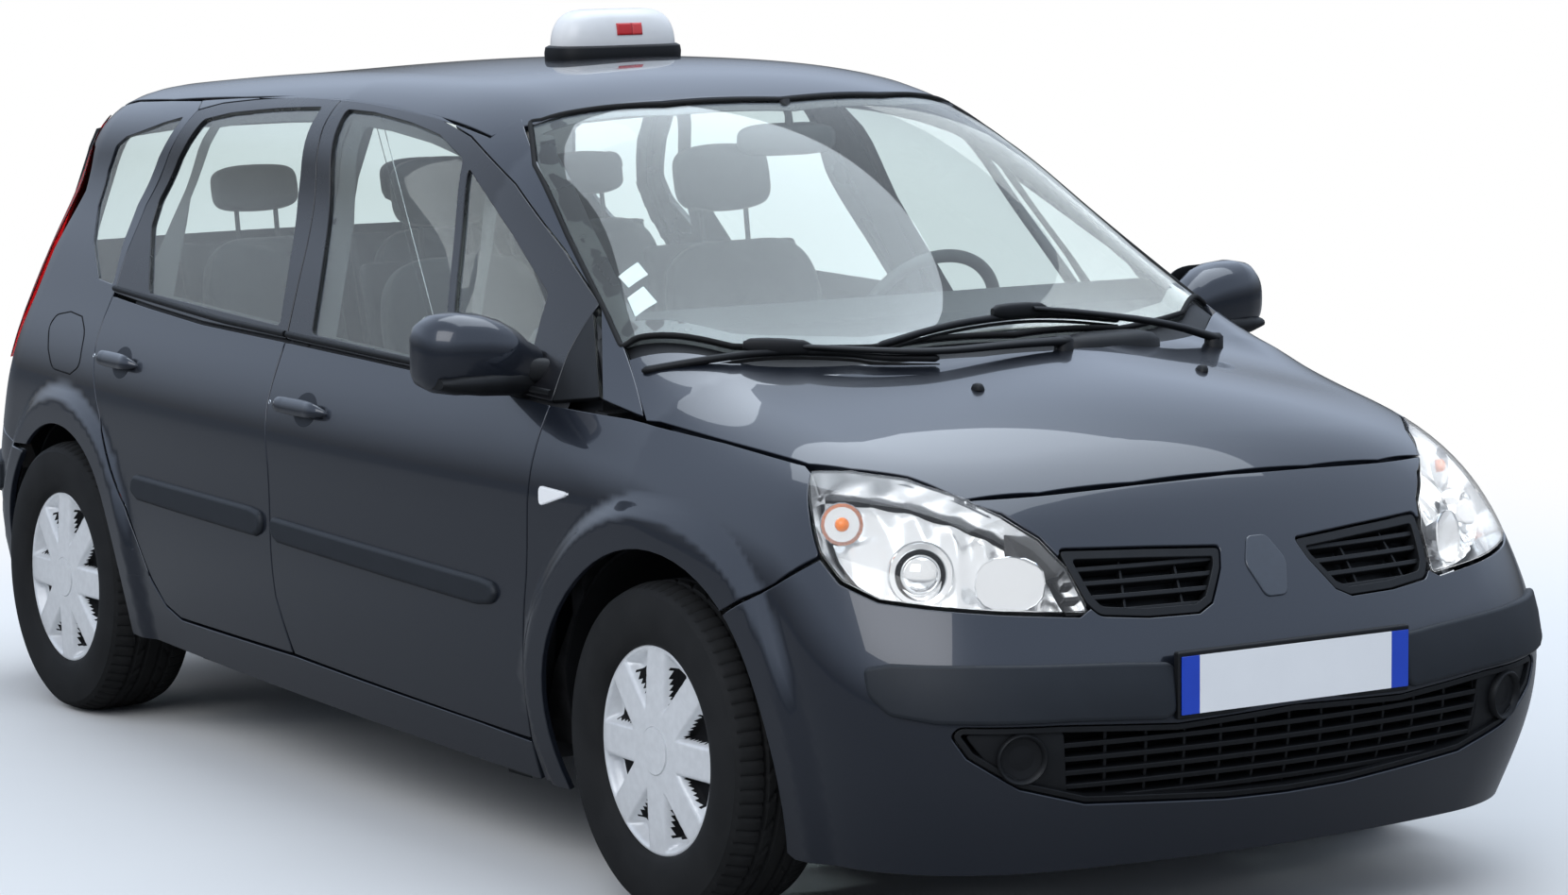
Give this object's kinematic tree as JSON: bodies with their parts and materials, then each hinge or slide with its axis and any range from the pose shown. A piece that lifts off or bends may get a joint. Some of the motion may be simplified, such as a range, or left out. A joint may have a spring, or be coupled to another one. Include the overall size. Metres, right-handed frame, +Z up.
{
  "type": "taxi cab",
  "caption": "Five-door people carrier used as a taxi cab, slate grey, with a white roof sign, opening doors, bonnet and tailgate, and steered rolling wheels.",
  "frame": {"origin": "on the ground, under the middle of the overall box", "axes": "+X forward along the car, +Y to its left, +Z up"},
  "size_m": [4.259, 2.04, 1.682],
  "materials": {
    "body_paint": "gloss",
    "black_trim": "matte",
    "window_glass": "clear gloss",
    "lamp_lens": "clear gloss",
    "rear_lamp_lens": "gloss",
    "tyre": "matte",
    "wheel_cover": "satin",
    "chassis_steel": "satin",
    "engine_metal": "cast",
    "exhaust_steel": "dull",
    "cabin_plastic": "matte",
    "seat_cloth": "woven",
    "sign_white": "gloss"
  },
  "bodies": {
    "body": {"boot_frame": "chassis_steel", "cowl_panel": "black_trim", "dashboard": "cabin_plastic", "engine_block": "engine_metal", "exhaust": "exhaust_steel", "floor_pan": "chassis_steel", "front_bumper": "body_paint", "front_grilles": "black_trim", "front_seats": "seat_cloth", "front_structure": "chassis_steel", "front_subframe": "chassis_steel", "front_wings": "body_paint", "headlamps": "lamp_lens", "quarter_glass": "window_glass", "quarter_panels": "body_paint", "rear_axle": "chassis_steel", "rear_bumper": "body_paint", "rear_seats": "seat_cloth", "roof_panel": "body_paint", "roof_rails": "body_paint", "roof_sign": "sign_white", "side_sills": "body_paint", "tail_lamps": "rear_lamp_lens", "wheel_liners": "black_trim", "windscreen": "window_glass"},
    "door_front_left": {"door_front_left": "body_paint", "glass_front_left": "window_glass", "mirror_left": "body_paint"},
    "door_front_right": {"door_front_right": "body_paint", "glass_front_right": "window_glass", "mirror_right": "body_paint"},
    "door_rear_left": {"door_rear_left": "body_paint", "glass_rear_left": "window_glass"},
    "door_rear_right": {"door_rear_right": "body_paint", "glass_rear_right": "window_glass"},
    "bonnet": {"bonnet": "body_paint"},
    "tailgate": {"tailgate": "body_paint", "tailgate_glass": "window_glass"},
    "knuckle_left": {"knuckle_left": "chassis_steel"},
    "knuckle_right": {"knuckle_right": "chassis_steel"},
    "wheel_front_left": {"wheel_front_left": "wheel_cover", "tyre_front_left": "tyre"},
    "wheel_front_right": {"wheel_front_right": "wheel_cover", "tyre_front_right": "tyre"},
    "wheel_rear_left": {"wheel_rear_left": "wheel_cover", "tyre_rear_left": "tyre"},
    "wheel_rear_right": {"wheel_rear_right": "wheel_cover", "tyre_rear_right": "tyre"},
    "steering_wheel": {"steering_wheel": "cabin_plastic"}
  },
  "joints": [
    {"name": "door_front_left_hinge", "type": "hinge", "parent": "body", "child": "door_front_left", "pos_m": [0.9135, 0.8895, 0.65], "axis": [0, 0, -1], "range_deg": [0, 65]},
    {"name": "door_front_right_hinge", "type": "hinge", "parent": "body", "child": "door_front_right", "pos_m": [0.9135, -0.8895, 0.65], "axis": [0, 0, 1], "range_deg": [0, 65]},
    {"name": "door_rear_left_hinge", "type": "hinge", "parent": "body", "child": "door_rear_left", "pos_m": [-0.187, 0.8895, 0.65], "axis": [0, 0, -1], "range_deg": [0, 70]},
    {"name": "door_rear_right_hinge", "type": "hinge", "parent": "body", "child": "door_rear_right", "pos_m": [-0.187, -0.8895, 0.65], "axis": [0, 0, 1], "range_deg": [0, 70]},
    {"name": "bonnet_hinge", "type": "hinge", "parent": "body", "child": "bonnet", "pos_m": [1.0535, 0, 1.06], "axis": [0, -1, 0], "range_deg": [0, 50]},
    {"name": "tailgate_hinge", "type": "hinge", "parent": "body", "child": "tailgate", "pos_m": [-1.6985, 0, 1.452], "axis": [0, 1, 0], "range_deg": [0, 80]},
    {"name": "steer_left", "type": "hinge", "parent": "body", "child": "knuckle_left", "pos_m": [1.2895, 0.615, 0.317], "axis": [0, 0, 1], "range_deg": [-32, 32]},
    {"name": "steer_right", "type": "hinge", "parent": "body", "child": "knuckle_right", "pos_m": [1.2895, -0.615, 0.317], "axis": [0, 0, 1], "range_deg": [-32, 32]},
    {"name": "wheel_front_left_spin", "type": "hinge", "parent": "knuckle_left", "child": "wheel_front_left", "pos_m": [1.2895, 0.753, 0.317], "axis": [0, 1, 0], "continuous": true},
    {"name": "wheel_front_right_spin", "type": "hinge", "parent": "knuckle_right", "child": "wheel_front_right", "pos_m": [1.2895, -0.753, 0.317], "axis": [0, 1, 0], "continuous": true},
    {"name": "wheel_rear_left_spin", "type": "hinge", "parent": "body", "child": "wheel_rear_left", "pos_m": [-1.3955, 0.753, 0.317], "axis": [0, 1, 0], "continuous": true},
    {"name": "wheel_rear_right_spin", "type": "hinge", "parent": "body", "child": "wheel_rear_right", "pos_m": [-1.3955, -0.753, 0.317], "axis": [0, 1, 0], "continuous": true},
    {"name": "steering_wheel_turn", "type": "hinge", "parent": "body", "child": "steering_wheel", "pos_m": [0.4495, 0.34, 0.975], "axis": [-0.891, 0, 0.454], "range_deg": [-512, 512]}
  ],
  "couplings": [
    {"joint": "steer_right", "follows": "steer_left", "ratio": 1},
    {"joint": "steering_wheel_turn", "follows": "steer_left", "ratio": 16}
  ]
}
